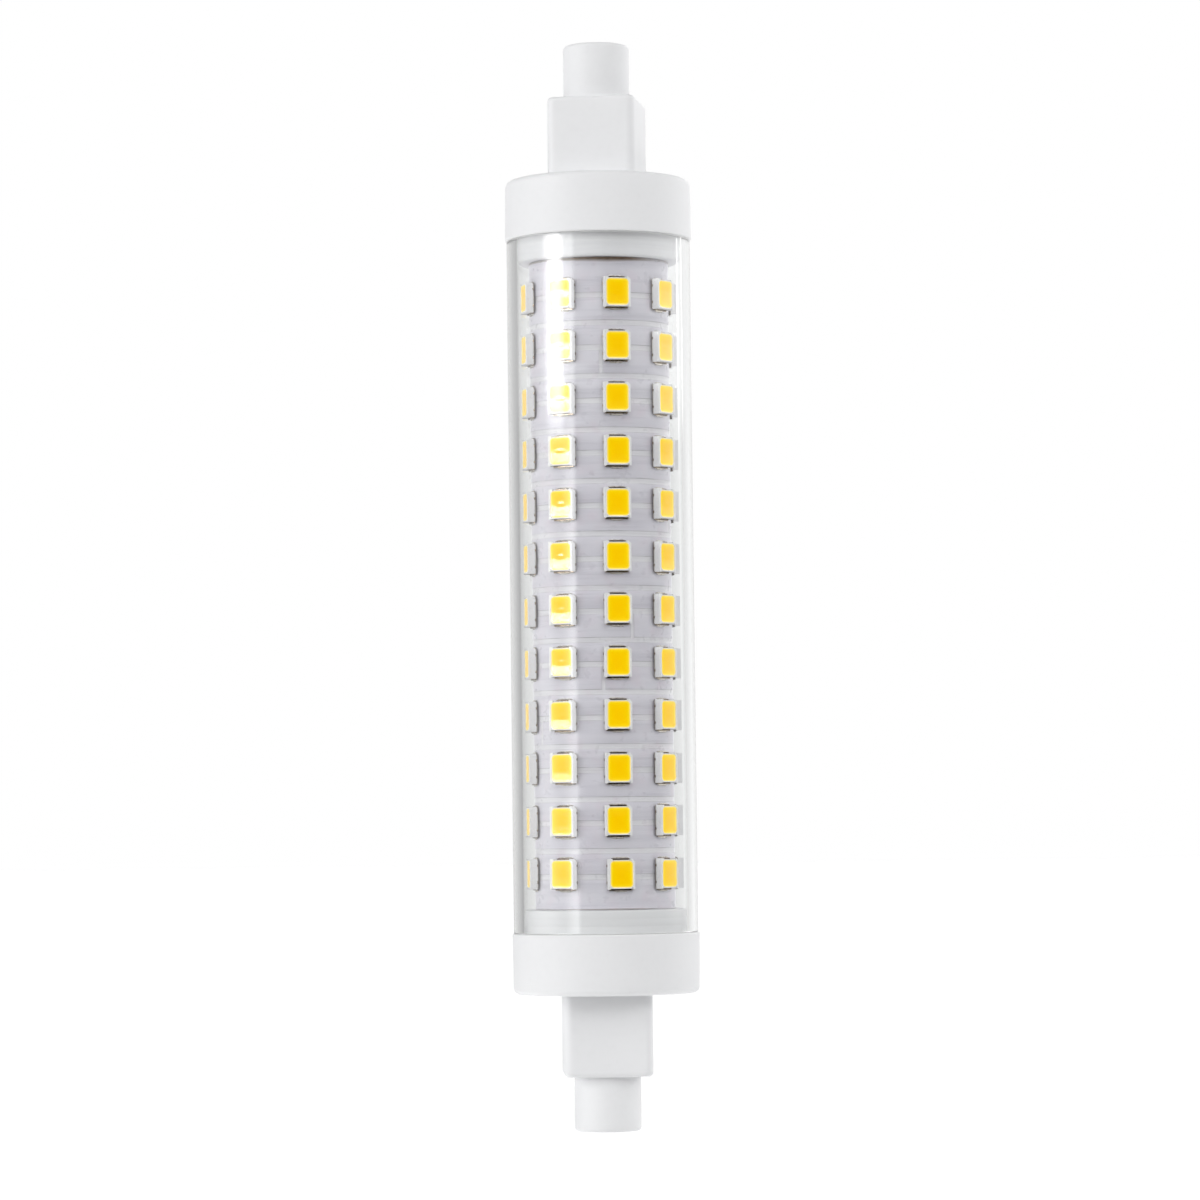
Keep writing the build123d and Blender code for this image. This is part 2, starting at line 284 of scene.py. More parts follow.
# ---------------------------------------------------------------- LED places
def led_frame(col, row):
    k = col * ROWS + row
    slip = 0.035 * math.sin(2.3 * k + 0.7)
    lift = 0.030 * math.sin(3.1 * k + 1.9)
    if col == 0 and row == ROWS - 1:
        slip = 0.22
    # the seam lies between the two middle columns at the back
    side = col if col < COLS / 2 else col - COLS
    a = math.radians(COL0_DEG + COL_PITCH * side) + slip / BOARD_R + BOARD_SKEW * row / (ROWS - 1)
    z = ROW0_Z - ROW_PITCH * row + lift
    return a, z


def placed(local, col, row):
    """Points of one LED, moved from its own axes to the lamp's."""
    a, z0 = led_frame(col, row)
    ca, sa = math.cos(a), math.sin(a)
    out = []
    for x, y, z in local:
        r = BOARD_R + z
        out.append((sa * r + ca * x, -ca * r + sa * x, z0 + y))
    return out


def on_every_led(name, shape, sharp_deg=30.0, floats=None):
    """One object with a copy of the shape on each LED. shape(col, row) gives points and faces."""
    verts, faces, values = [], [], {key: [] for key in (floats or {})}
    for col in range(COLS):
        for row in range(ROWS):
            pts, fcs = shape(col, row)
            base = len(verts)
            verts += placed(pts, col, row)
            faces += [tuple(base + i for i in f) for f in fcs]
            for key in values:
                values[key] += floats[key](pts)
    return make_object(name, verts, faces, sharp_deg=sharp_deg, floats=values, recalc=True)


# ---------------------------------------------------------------- LED housing
def rounded_rect_at(angle, hw, hl, r):
    """Where a ray from the middle meets a rounded rectangle."""
    dx, dy = math.cos(angle), math.sin(angle)
    sx, sy = (1 if dx >= 0 else -1), (1 if dy >= 0 else -1)
    dx, dy = abs(dx), abs(dy)
    t = min(hw / dx if dx > 1e-9 else 1e9, hl / dy if dy > 1e-9 else 1e9)
    x, y = dx * t, dy * t
    cx, cy = hw - r, hl - r
    if x > cx and y > cy:
        b = dx * cx + dy * cy
        c = cx * cx + cy * cy - r * r
        t = b + math.sqrt(max(0.0, b * b - c))
        x, y = dx * t, dy * t
    return sx * x, sy * y


def outline_at(angle, hw, hl, cut):
    """Where a ray from the middle meets the housing's outline, with one cut corner."""
    x, y = rounded_rect_at(angle, hw, hl, 0.07)
    if x > 0 and y > 0 and x + y > hw + hl - cut:
        dx, dy = math.cos(angle), math.sin(angle)
        t = (hw + hl - cut) / (dx + dy)
        x, y = dx * t, dy * t
    return x, y


def housing_shape():
    hw, hl = LED_W / 2, LED_L / 2
    notch = {1: (TOP_NOTCH_W / 2, TOP_NOTCH_D), -1: (FOOT_NOTCH_W / 2, FOOT_NOTCH_D)}
    angles = set()
    for q in range(4):
        for k in range(9):
            u = math.radians(90 * k / 8)
            x = WIN_W / 2 - WIN_R + WIN_R * math.cos(u)
            y = WIN_L / 2 - WIN_R + WIN_R * math.sin(u)
            a = math.atan2(y, x)
            angles.add(round((a if q == 0 else math.pi - a if q == 1 else math.pi + a if q == 2 else 2 * math.pi - a), 6))
        for k in range(4):
            u = math.radians(90 * k / 3)
            x = hw - 0.07 + 0.07 * math.cos(u)
            y = hl - 0.07 + 0.07 * math.sin(u)
            a = math.atan2(y, x)
            angles.add(round((a if q == 0 else math.pi - a if q == 1 else math.pi + a if q == 2 else 2 * math.pi - a), 6))
    for d in (-30, -15, 0, 15, 30, 150, 165, 180, 195, 210):
        angles.add(round(math.radians(d % 360), 6))
    for x, y in ((hw - LED_CUT, hl), (hw, hl - LED_CUT)):
        angles.add(round(math.atan2(y, x), 6))

    def span(end):
        nw, nd = notch[end]
        both = (math.atan2(hl, nw), math.atan2(hl - nd, nw))
        return min(both), max(both)

    plan = []
    for a in sorted(angles):
        end = 1 if math.sin(a) >= 0 else -1
        lo_a, hi_a = span(end)
        base = a % math.pi
        mirrored = base if base <= math.pi / 2 else math.pi - base
        if lo_a - 0.004 < mirrored < hi_a + 0.004:
            continue
        x, y = outline_at(a, hw, hl, LED_CUT)
        if mirrored > hi_a:
            t = (hl - notch[end][1]) / abs(math.sin(a))
            x, y = math.cos(a) * t, math.sin(a) * t
        plan.append((a, x, y))
    for sx, sy in ((1, 1), (-1, 1), (-1, -1), (1, -1)):
        nw, nd = notch[sy]
        lo_a, hi_a = span(sy)
        for mirrored, y in ((lo_a, hl), (hi_a, hl - nd)):
            a = mirrored
            if sx < 0:
                a = math.pi - a
            if sy < 0:
                a = 2 * math.pi - a
            plan.append((a % (2 * math.pi), sx * nw, sy * y))
    plan.sort()
    n = len(plan)

    def shrink(x, y, d):
        r = math.hypot(x, y)
        k = 1 - d / max(abs(x) / hw, abs(y) / hl) / min(hw, hl) * (min(hw, hl) / r) if r else 1
        return x * k, y * k

    loops = []
    loops.append([(x, y, LED_BASE) for a, x, y in plan])
    loops.append([(x, y, LED_FACE - 0.16) for a, x, y in plan])
    loops.append([(x, y, LED_FACE - 0.055) for a, x, y in plan])
    loops.append([shrink(x, y, 0.008) + (LED_FACE - 0.018,) for a, x, y in plan])
    loops.append([shrink(x, y, 0.030) + (LED_FACE,) for a, x, y in plan])
    loops.append([rounded_rect_at(a, WIN_W / 2 + 0.014, WIN_L / 2 + 0.014, WIN_R + 0.014) + (LED_FACE,) for a, x, y in plan])
    loops.append([rounded_rect_at(a, WIN_W / 2 + 0.004, WIN_L / 2 + 0.004, WIN_R) + (LED_FACE - 0.010,) for a, x, y in plan])
    loops.append([rounded_rect_at(a, WIN_W / 2, WIN_L / 2, WIN_R) + (LED_FACE - 0.05,) for a, x, y in plan])
    loops.append([rounded_rect_at(a, WIN_W / 2 - 0.06, WIN_L / 2 - 0.06, WIN_R) + (LED_FACE - 0.36,) for a, x, y in plan])
    verts = [p for loop in loops for p in loop]
    faces = []
    for k in range(len(loops) - 1):
        faces += bridge(n, k * n, (k + 1) * n)
    faces.append(tuple(reversed(range(n))))
    faces.append(tuple(range((len(loops) - 1) * n, len(loops) * n)))
    return verts, faces


def housing_foot_shade_mask(points):
    """1 at the foot of a housing and 0 at its face: where the painted shade at the foot is laid."""
    return [max(0.0, min(1.0, (LED_FACE - 0.10 - z) / (LED_FACE - 0.10 - LED_BASE))) if math.hypot(x, y) > 1.0 else 0.0 for x, y, z in points]


# ---------------------------------------------------------------- LED phosphor
def phosphor_shape():
    hw, hl = WIN_W / 2 - 0.004, WIN_L / 2 - 0.004
    n = 48
    angles = []
    for q in range(4):
        for k in range(9):
            u = math.radians(90 * k / 8)
            x = hw - WIN_R + WIN_R * math.cos(u)
            y = hl - WIN_R + WIN_R * math.sin(u)
            a = math.atan2(y, x)
            angles.append(a if q == 0 else math.pi - a if q == 1 else math.pi + a if q == 2 else 2 * math.pi - a)
    for d in (-24, -12, 0, 12, 24):
        for base in (0, 180):
            angles.append(math.radians((base + d) % 360))
    for d in (66, 78, 90, 102, 114):
        for base in (0, 180):
            angles.append(math.radians((base + d) % 360))
    angles = sorted(angles)
    n = len(angles)
    top = LED_FACE - 0.022

    def bend(t):
        return 0.5 * (t - 0.20 + math.sqrt((t - 0.20) ** 2 + 0.0036))

    def fall(t):
        return (math.sqrt(t * t + 0.0144) - 0.12) / 0.887

    def height(x, y):
        u, v = min(1.0, abs(x) / hw), min(1.0, abs(y) / hl)
        # the fill was drawn up at its edges as it set, most along its length
        rise = 0.064 * bend(v) + 0.016 * fall(u) - 0.066
        edge = max(u, v)
        climb = 0.010 * max(0.0, (edge - 0.92) / 0.08) ** 2
        # low rise over the chip
        chip = 0.0130 * math.exp(-x * x / 0.22 - (y - 0.02) ** 2 / 0.060)
        return top - 0.010 + rise + climb + chip

    verts, faces = [], []
    scales = (1.0, 0.975, 0.94, 0.88, 0.78, 0.66, 0.54, 0.42, 0.33, 0.25, 0.18, 0.11, 0.05)
    for s in scales:
        for a in angles:
            x, y = rounded_rect_at(a, hw, hl, WIN_R)
            verts.append((x * s, y * s, height(x * s, y * s)))
    verts.append((0, 0, height(0, 0)))
    for k in range(len(scales) - 1):
        faces += bridge(n, k * n, (k + 1) * n)
    last = (len(scales) - 1) * n
    tip = len(scales) * n
    for i in range(n):
        faces.append((last + i, last + (i + 1) % n, tip))
    under = len(verts)
    for a in angles:
        x, y = rounded_rect_at(a, hw - 0.05, hl - 0.05, WIN_R)
        verts.append((x, y, LED_FACE - 0.34))
    faces += bridge(n, under, 0)
    faces.append(tuple(reversed(range(under, under + n))))
    return verts, faces


def phosphor_rim(points):
    hw, hl = WIN_W / 2, WIN_L / 2
    out = []
    for x, y, z in points:
        cx, cy = hw - WIN_R, hl - WIN_R
        dx, dy = max(0.0, abs(x) - cx), max(0.0, abs(y) - cy)
        if dx > 0 and dy > 0:
            gap = WIN_R - math.hypot(dx, dy)
        else:
            gap = min(hw - abs(x), hl - abs(y))
        out.append(max(0.0, 1.0 - gap / 0.90))
    return out


# ---------------------------------------------------------------- LED terminals
def box_points(x0, x1, y0, y1, z0, z1, bev=0.02):
    """A box with its upper edges bevelled."""
    pts = [(x0, y0, z0), (x1, y0, z0), (x1, y1, z0), (x0, y1, z0),
           (x0, y0, z1 - bev), (x1, y0, z1 - bev), (x1, y1, z1 - bev), (x0, y1, z1 - bev),
           (x0 + bev, y0 + bev, z1), (x1 - bev, y0 + bev, z1), (x1 - bev, y1 - bev, z1), (x0 + bev, y1 - bev, z1)]
    fcs = [(3, 2, 1, 0)] + bridge(4, 0, 4) + bridge(4, 4, 8) + [(8, 9, 10, 11)]
    return pts, fcs


def terminal_shape():
    verts, faces = [], []

    def add(part):
        base = len(verts)
        verts.extend(part[0])
        faces.extend(tuple(base + i for i in f) for f in part[1])

    hl, hw = LED_L / 2, LED_W / 2
    add(box_points(-0.95, 0.95, hl - 0.90, hl + 0.05, 0.035, 0.17, 0.03))
    add(box_points(-1.21, 1.21, -hl - 0.12, -hl + 0.90, 0.035, 0.17, 0.03))
    for s in (1, -1):
        # cut ends of the lead frame in the long sides
        for y in (0.90, -0.90):
            x0, x1 = (hw - 0.20, hw + 0.05) if s > 0 else (-hw - 0.05, -hw + 0.20)
            add(box_points(x0, x1, y - 0.13, y + 0.13, 0.06, 0.18, 0.02))
    return verts, faces


# ---------------------------------------------------------------- solder
def solder_shape(col, row):
    """A drawn-up fillet at each end: concave from the terminal down to the board."""
    verts, faces = [], []
    k = col * ROWS + row
    for s in (1, -1):
        jitter = 0.03 * math.sin(1.7 * k + 2.1 * s)
        start = LED_L / 2 + (0.045 if s > 0 else 0.115)
        reach = (0.13 if s > 0 else 0.17) + 0.7 * jitter
        rise = 0.150 + 0.4 * jitter
        wide = 0.90 if s > 0 else 0.72 + 1.5 * jitter
        prof = []
        for i in range(7):
            t = i / 6
            prof.append((start + reach * t, 0.030 + (rise - 0.030) * (1 - t) ** 2.2))
        across = 12
        base = len(verts)
        for j in range(across + 1):
            u = -1 + 2 * j / across
            # ends of the fillet are rounded in plan and follow the board's curve
            keep = math.sqrt(max(0.0, 1 - abs(u) ** 5))
            x = wide * u
            drop = BOARD_R - math.sqrt(BOARD_R ** 2 - x * x)
            for y, z in prof:
                yy = start - 0.02 + (y - start + 0.02) * (0.35 + 0.65 * keep)
                zz = (z - drop * 0.6) if z < 0.08 else z * (0.55 + 0.45 * keep)
                verts.append((x, s * yy, max(zz, 0.005 - drop)))
            verts.append((x, s * (start + reach * (0.35 + 0.65 * keep)), -0.01 - drop))
            verts.append((x, s * (start - 0.02), -0.01 - drop))
        m = len(prof) + 2
        for j in range(across):
            a, b = base + j * m, base + (j + 1) * m
            for i in range(m):
                i2 = (i + 1) % m
                faces.append((a + i, a + i2, b + i2, b + i) if s > 0 else (b + i, b + i2, a + i2, a + i))
        ends = (tuple(base + i for i in range(m)), tuple(base + across * m + i for i in range(m)))
        faces.append(tuple(reversed(ends[0])) if s > 0 else ends[0])
        faces.append(ends[1] if s > 0 else tuple(reversed(ends[1])))
    return verts, faces


# ---------------------------------------------------------------- LED board
def board_lines():
    """Heights of the gaps between the copper areas: at each LED's middle and between two rows."""
    gaps = []
    for row in range(ROWS):
        z = ROW0_Z - ROW_PITCH * row
        w = 0.04 * math.sin(2.1 * row + 0.4)
        gaps.append((z + 0.03 + w, z - 0.56 + w))
        if row < ROWS - 1:
            m = z - ROW_PITCH / 2
            w = 0.10 * math.sin(1.9 * row + 1.1)
            gaps.append((m - 0.20 + w, m - 0.76 + w))
    return gaps


BREAKS = (  # vertical gaps: angle in degrees, first and last row gap that they join
    (24.0, 12, 13), (0.5, 14, 15), (1.0, 2, 3), (69.0, 8, 9), (-58.0, 16, 17), (114.0, 6, 7), (205.0, 14, 15), (250.0, 2, 3), (160.0, 18, 19),
)


def led_board():
    soft, depth, half = 0.050, 0.040, 0.19
    gaps = board_lines()
    zs = set()
    upper, lower = set(), set()
    for hi, lo in gaps:
        for z, kind in ((hi, upper), (lo, lower)):
            kind.add(round(z, 5))
            for d in (soft, 0.0, -soft):
                zs.add(round(z + d, 5))
        zs.add(round((hi + lo) / 2, 5))
    edge = 0.16
    inner_edge = (BOARD_HALF - edge, BOARD_HALF - edge - 0.03)
    for k in (1, -1):
        zs.add(k * BOARD_HALF)
        for z in inner_edge:
            zs.add(k * z)
    zs = sorted(zs, reverse=True)
    gap_deg = math.degrees(SEAM_GAP / BOARD_R)
    first = SEAM_DEG + gap_deg / 2
    span = 360.0 - gap_deg
    degs = set(round(first + span * k / 288, 5) for k in range(289))
    cuts = []
    hw = math.degrees(half / BOARD_R)
    sw = math.degrees(soft / BOARD_R)
    for deg, g0, g1 in BREAKS:
        d = (deg - first) % 360.0 + first
        cuts.append((d, gaps[g0][1], gaps[g1][0]))
        for e in (-hw - sw, -hw, -hw + sw, hw - sw, hw, hw + sw):
            degs.add(round(d + e, 5))
    degs = sorted(degs)
    clean = [degs[0]]
    for d in degs[1:-1]:
        if d - clean[-1] > 0.05:
            clean.append(d)
    clean.append(degs[-1])
    degs = clean

    def pour(deg, z):
        """1 on a copper area, 0 in a gap."""
        v = 1.0
        for hi, lo in gaps:
            if lo - soft < z < hi + soft:
                up = max(0.0, min(1.0, (z - (hi - soft)) / (2 * soft)))
                dn = max(0.0, min(1.0, ((lo + soft) - z) / (2 * soft)))
                v = min(v, max(up, dn))
        for d, z1, z0 in cuts:
            if z0 <= z <= z1 and abs(deg - d) < hw + sw:
                v = min(v, max(0.0, min(1.0, (abs(deg - d) - (hw - sw)) / (2 * sw))))
        return v

    def edge_line_and_shade(deg, z):
        """How dark the edge of a copper area shows: a dark joint line, made darker by painted shadow at the area's
        lower edge, under the step, than at its upper.
        """
        k = round(z, 5)
        v = 1.0 if k in upper else 0.55 if k in lower else 0.0
        for d, z1, z0 in cuts:
            if z0 <= z <= z1:
                if abs(abs(deg - d) - hw) < 0.3 * sw:
                    v = max(v, 0.75)
                elif abs(deg - d) < hw:
                    v = 0.0
        return v

    def edge_depth(deg):
        """Height of the brown cut edge, which is uneven round the board."""
        a = math.radians(deg)
        return 0.15 + 0.05 * math.cos(a - 0.25) + 0.02 * math.sin(3 * a + 0.6) + 0.012 * math.sin(11 * a)

    def gap_shade_run(deg):
        """How far the brown runs out below the upper cut edge, as painted shadow of the gap under the spigot."""
        d = (deg + 180.0) % 360.0 - 180.0
        return 0.05 + 0.29 * math.exp(-((d - 5.0) / 28.0) ** 2)

    def cut_edge_brown_and_shade(deg):
        """How brown the cut edge is: exposed substrate darkened by painted shadow of the gap under the spigot, fading
        towards the sides.
        """
        d = (deg + 180.0) % 360.0 - 180.0
        t = max(0.0, min(1.0, (abs(d - 2.0) - 22.0) / 26.0))
        return 1.0 - (0.70 if d > 2.0 else 0.45) * t * t * (3 - 2 * t)

    verts, values, rims, dark = [], [], [], []
    for z in zs:
        for deg in degs:
            a = math.radians(deg)
            v = pour(deg, z)
            r = BOARD_R - depth * (1 - v)
            # the lower cut edge takes half the painted shadow of the upper one
            cut = cut_edge_brown_and_shade(deg) * (1.0 if z > 0 else 0.5) if abs(z) > BOARD_HALF - edge - 0.01 else 0.0
            zz = z
            if cut:
                r = BOARD_R + (0.0 if abs(z) < BOARD_HALF - 0.01 else -0.03)
            if BOARD_HALF - edge - 0.04 < abs(z) < BOARD_HALF - 0.01:
                shift = (edge - edge_depth(deg)) * (1.0 if z > 0 else 0.45) + (0.0 if z > 0 else 0.08)
                # below the upper cut edge the brown runs further down as painted shadow of the gap under the spigot
                if 0 < z < BOARD_HALF - edge - 0.01:
                    shift -= gap_shade_run(deg)
                zz = math.copysign(abs(z) + shift, z)
            values.append(v)
            rims.append(cut)
            dark.append(edge_line_and_shade(deg, z))
            verts.append((math.sin(a) * r, -math.cos(a) * r, zz))
    n, m = len(degs), len(zs)
    faces = []
    for k in range(m - 1):
        faces += bridge(n, k * n, (k + 1) * n, closed=False)
    inner = len(verts)
    ri = BOARD_R - BOARD_THICK
    for z in (BOARD_HALF, -BOARD_HALF):
        for deg in degs:
            a = math.radians(deg)
            verts.append((math.sin(a) * ri, -math.cos(a) * ri, z))
            values.append(1.0)
            rims.append(1.0)
            dark.append(0.0)
    faces += [tuple(reversed(f)) for f in bridge(n, inner, inner + n, closed=False)]
    faces += bridge(n, inner, 0, closed=False)
    faces += bridge(n, (m - 1) * n, inner + n, closed=False)
    faces.append(tuple([k * n for k in range(m)] + [inner + n, inner]))
    faces.append(tuple(reversed([k * n + n - 1 for k in range(m)] + [inner + 2 * n - 1, inner + n - 1])))
    return make_object("led_board_sheet", verts, faces, sharp_deg=60, floats={"pour": values, "cut_edge_and_gap_shade": rims, "edge_line_and_shade": dark}, recalc=True)


# ---------------------------------------------------------------- materials
def material(name):
    m = bpy.data.materials.new(name)
    m.use_nodes = True
    nt = m.node_tree
    nt.nodes.clear()
    out = nt.nodes.new("ShaderNodeOutputMaterial")
    bsdf = nt.nodes.new("ShaderNodeBsdfPrincipled")
    nt.links.new(bsdf.outputs["BSDF"], out.inputs["Surface"])
    return m, nt, bsdf, out


def coords(nt, scale=(1, 1, 1)):
    tc = nt.nodes.new("ShaderNodeTexCoord")
    mp = nt.nodes.new("ShaderNodeMapping")
    mp.inputs["Scale"].default_value = scale
    nt.links.new(tc.outputs["Object"], mp.inputs["Vector"])
    return mp.outputs["Vector"]


def noise(nt, vec, scale, detail=3.0, rough=0.55):
    n = nt.nodes.new("ShaderNodeTexNoise")
    n.inputs["Scale"].default_value = scale
    n.inputs["Detail"].default_value = detail
    n.inputs["Roughness"].default_value = rough
    nt.links.new(vec, n.inputs["Vector"])
    return n.outputs["Fac"]


def ramp(nt, fac, stops):
    r = nt.nodes.new("ShaderNodeValToRGB")
    els = r.color_ramp.elements
    while len(els) > 1:
        els.remove(els[-1])
    els[0].position = stops[0][0]
    els[0].color = tuple(stops[0][1]) + (1.0,)
    for pos, col in stops[1:]:
        e = els.new(pos)
        e.color = tuple(col) + (1.0,)
    nt.links.new(fac, r.inputs["Fac"])
    return r.outputs["Color"]


def remap(nt, val, a0, a1, b0, b1):
    r = nt.nodes.new("ShaderNodeMapRange")
    r.inputs["From Min"].default_value = a0
    r.inputs["From Max"].default_value = a1
    r.inputs["To Min"].default_value = b0
    r.inputs["To Max"].default_value = b1
    nt.links.new(val, r.inputs["Value"])
    return r.outputs["Result"]


def mix(nt, fac, a, b, blend="MIX"):
    m = nt.nodes.new("ShaderNodeMix")
    m.data_type = "RGBA"
    m.blend_type = blend
    for sock, val in ((m.inputs["Factor"], fac), (m.inputs[6], a), (m.inputs[7], b)):
        if isinstance(val, (int, float)):
            sock.default_value = val
        elif isinstance(val, tuple):
            sock.default_value = val + (1.0,)
        else:
            nt.links.new(val, sock)
    return m.outputs[2]


def attribute(nt, name):
    a = nt.nodes.new("ShaderNodeAttribute")
    a.attribute_name = name
    return a.outputs["Fac"]


def bump(nt, bsdf, height, distance, strength=1.0):
    b = nt.nodes.new("ShaderNodeBump")
    b.inputs["Strength"].default_value = strength
    b.inputs["Distance"].default_value = distance
    nt.links.new(height, b.inputs["Height"])
    nt.links.new(b.outputs["Normal"], bsdf.inputs["Normal"])


def grained(name, dark, light, scale, rough, metallic=0.0, grain=None, stretch=(1, 1, 1), ior=None):
    """A plain material with mottled colour, uneven roughness and a fine grain."""
    m, nt, bsdf, out = material(name)
    vec = coords(nt, stretch)
    n = noise(nt, vec, scale, 4.0)
    nt.links.new(ramp(nt, n, [(0.30, dark), (0.70, light)]), bsdf.inputs["Base Color"])
    n2 = noise(nt, vec, scale * 2.7, 3.0)
    nt.links.new(remap(nt, n2, 0.3, 0.7, rough[0], rough[1]), bsdf.inputs["Roughness"])
    bsdf.inputs["Metallic"].default_value = metallic
    if ior:
        bsdf.inputs["IOR"].default_value = ior
    if grain:
        g = noise(nt, vec, grain[0], 4.0, 0.6)
        bump(nt, bsdf, g, grain[1])
    return m


def glass_material():
    m, nt, bsdf, out = material("clear_glass")
    bsdf.inputs["Base Color"].default_value = (0.985, 0.992, 0.990, 1.0)
    bsdf.inputs["Transmission Weight"].default_value = 1.0
    bsdf.inputs["IOR"].default_value = 1.50
    # faint lines along the tube from drawing it
    vec = coords(nt, (1.0, 1.0, 0.012))
    lines = noise(nt, vec, 900.0, 2.0)
    nt.links.new(remap(nt, lines, 0.3, 0.7, 0.0, 0.018), bsdf.inputs["Roughness"])
    bump(nt, bsdf, lines, 0.0000018)
    clear = nt.nodes.new("ShaderNodeBsdfTransparent")
    clear.inputs["Color"].default_value = (0.960, 0.962, 0.962, 1.0)
    path = nt.nodes.new("ShaderNodeLightPath")
    soft = nt.nodes.new("ShaderNodeMixShader")
    nt.links.new(path.outputs["Is Diffuse Ray"], soft.inputs["Fac"])
    nt.links.new(bsdf.outputs["BSDF"], soft.inputs[1])
    nt.links.new(clear.outputs["BSDF"], soft.inputs[2])
    mx = nt.nodes.new("ShaderNodeMixShader")
    nt.links.new(path.outputs["Is Shadow Ray"], mx.inputs["Fac"])
    nt.links.new(soft.outputs["Shader"], mx.inputs[1])
    nt.links.new(clear.outputs["BSDF"], mx.inputs[2])
    nt.links.new(mx.outputs["Shader"], out.inputs["Surface"])
    return m


def ceramic_material():
    m, nt, bsdf, out = material("white_ceramic")
    vec = coords(nt)
    broad = noise(nt, vec, 120.0, 3.0)
    fine = noise(nt, vec, 1500.0, 3.0)
    base = ramp(nt, broad, [(0.30, (0.838, 0.842, 0.854)), (0.70, (0.858, 0.862, 0.872))])
    speck = ramp(nt, fine, [(0.25, (0.975, 0.975, 0.975)), (0.55, (1.0, 1.0, 1.0))])
    col = mix(nt, 0.6, base, speck, "MULTIPLY")
    # painted shade on the spigot, streaked along its turned lines
    rings = noise(nt, coords(nt, (0.02, 0.02, 1.0)), 2600.0, 2.0)
    spigot_shade = ramp(nt, rings, [(0.30, (0.935, 0.930, 0.940)), (0.70, (1.0, 1.0, 1.0))])
    col = mix(nt, attribute(nt, "painted_spigot_shade"), col, mix(nt, 1.0, col, spigot_shade, "MULTIPLY"))
    nt.links.new(col, bsdf.inputs["Base Color"])
    nt.links.new(remap(nt, fine, 0.3, 0.7, 0.42, 0.54), bsdf.inputs["Roughness"])
    bump(nt, bsdf, noise(nt, vec, 4200.0, 4.0, 0.6), 0.0000035)
    return m


def board_material():
    m, nt, bsdf, out = material("board_mask")
    vec = coords(nt)
    cloud = noise(nt, vec, 260.0, 3.0)
    mask = ramp(nt, cloud, [(0.30, (0.700, 0.680, 0.748)), (0.70, (0.746, 0.733, 0.788))])
    bare = ramp(nt, cloud, [(0.30, (0.772, 0.764, 0.798)), (0.70, (0.806, 0.800, 0.826))])
    col = mix(nt, attribute(nt, "pour"), bare, mask)
    # rosy stains and fine streaks round the board
    stain = ramp(nt, noise(nt, vec, 520.0, 3.0), [(0.50, (0.0, 0.0, 0.0)), (0.78, (0.55, 0.55, 0.55))])
    col = mix(nt, stain, col, (0.700, 0.610, 0.692))
    streak = ramp(nt, noise(nt, coords(nt, (0.05, 0.05, 1.0)), 1500.0, 3.0, 0.7), [(0.32, (0.86, 0.86, 0.87)), (0.50, (1.0, 1.0, 1.0)), (0.74, (1.06, 1.06, 1.05))])
    col = mix(nt, 0.75, col, streak, "MULTIPLY")
    # edges of the copper areas show as thin dark joint lines that come and go, darker under each step as painted
    # shadow
    patch = ramp(nt, noise(nt, vec, 420.0, 2.0), [(0.36, (0.30, 0.30, 0.30)), (0.60, (1.0, 1.0, 1.0))])
    thin = ramp(nt, attribute(nt, "edge_line_and_shade"), [(0.0, (0.0, 0.0, 0.0)), (1.0, (0.85, 0.85, 0.85))])
    col = mix(nt, mix(nt, 1.0, thin, patch, "MULTIPLY"), col, (0.300, 0.285, 0.300))
    # brown cut edge: exposed substrate with painted shadow of the gap under the spigot
    brown = ramp(nt, noise(nt, vec, 2200.0, 3.0), [(0.3, (0.150, 0.092, 0.050)), (0.7, (0.255, 0.172, 0.108))])
    col = mix(nt, attribute(nt, "cut_edge_and_gap_shade"), col, brown)
    nt.links.new(col, bsdf.inputs["Base Color"])
    nt.links.new(remap(nt, noise(nt, vec, 900.0, 3.0), 0.3, 0.7, 0.26, 0.34), bsdf.inputs["Roughness"])
    bsdf.inputs["Anisotropic"].default_value = 1.0
    bsdf.inputs["Anisotropic Rotation"].default_value = 0.25
    bsdf.inputs["IOR"].default_value = 1.72
    bump(nt, bsdf, noise(nt, vec, 3200.0, 3.0), 0.000004)
    return m


def housing_material():
    m, nt, bsdf, out = material("led_white")
    vec = coords(nt)
    n = noise(nt, vec, 1400.0, 4.0)
    white = ramp(nt, n, [(0.30, (0.885, 0.883, 0.886)), (0.70, (0.925, 0.923, 0.925))])
    # painted shade: the housing's sides darken to brown towards the board
    foot = ramp(nt, n, [(0.30, (0.200, 0.164, 0.138)), (0.70, (0.340, 0.294, 0.258))])
    low = ramp(nt, attribute(nt, "low"), [(0.66, (0.0, 0.0, 0.0)), (0.84, (0.13, 0.13, 0.13)), (0.92, (0.95, 0.95, 0.95)), (1.0, (1.0, 1.0, 1.0))])
    nt.links.new(mix(nt, low, white, foot), bsdf.inputs["Base Color"])
    nt.links.new(remap(nt, noise(nt, vec, 3800.0, 3.0), 0.3, 0.7, 0.26, 0.36), bsdf.inputs["Roughness"])
    bsdf.inputs["IOR"].default_value = 1.80
    bump(nt, bsdf, noise(nt, vec, 9000.0, 4.0, 0.6), 0.000002)
    return m


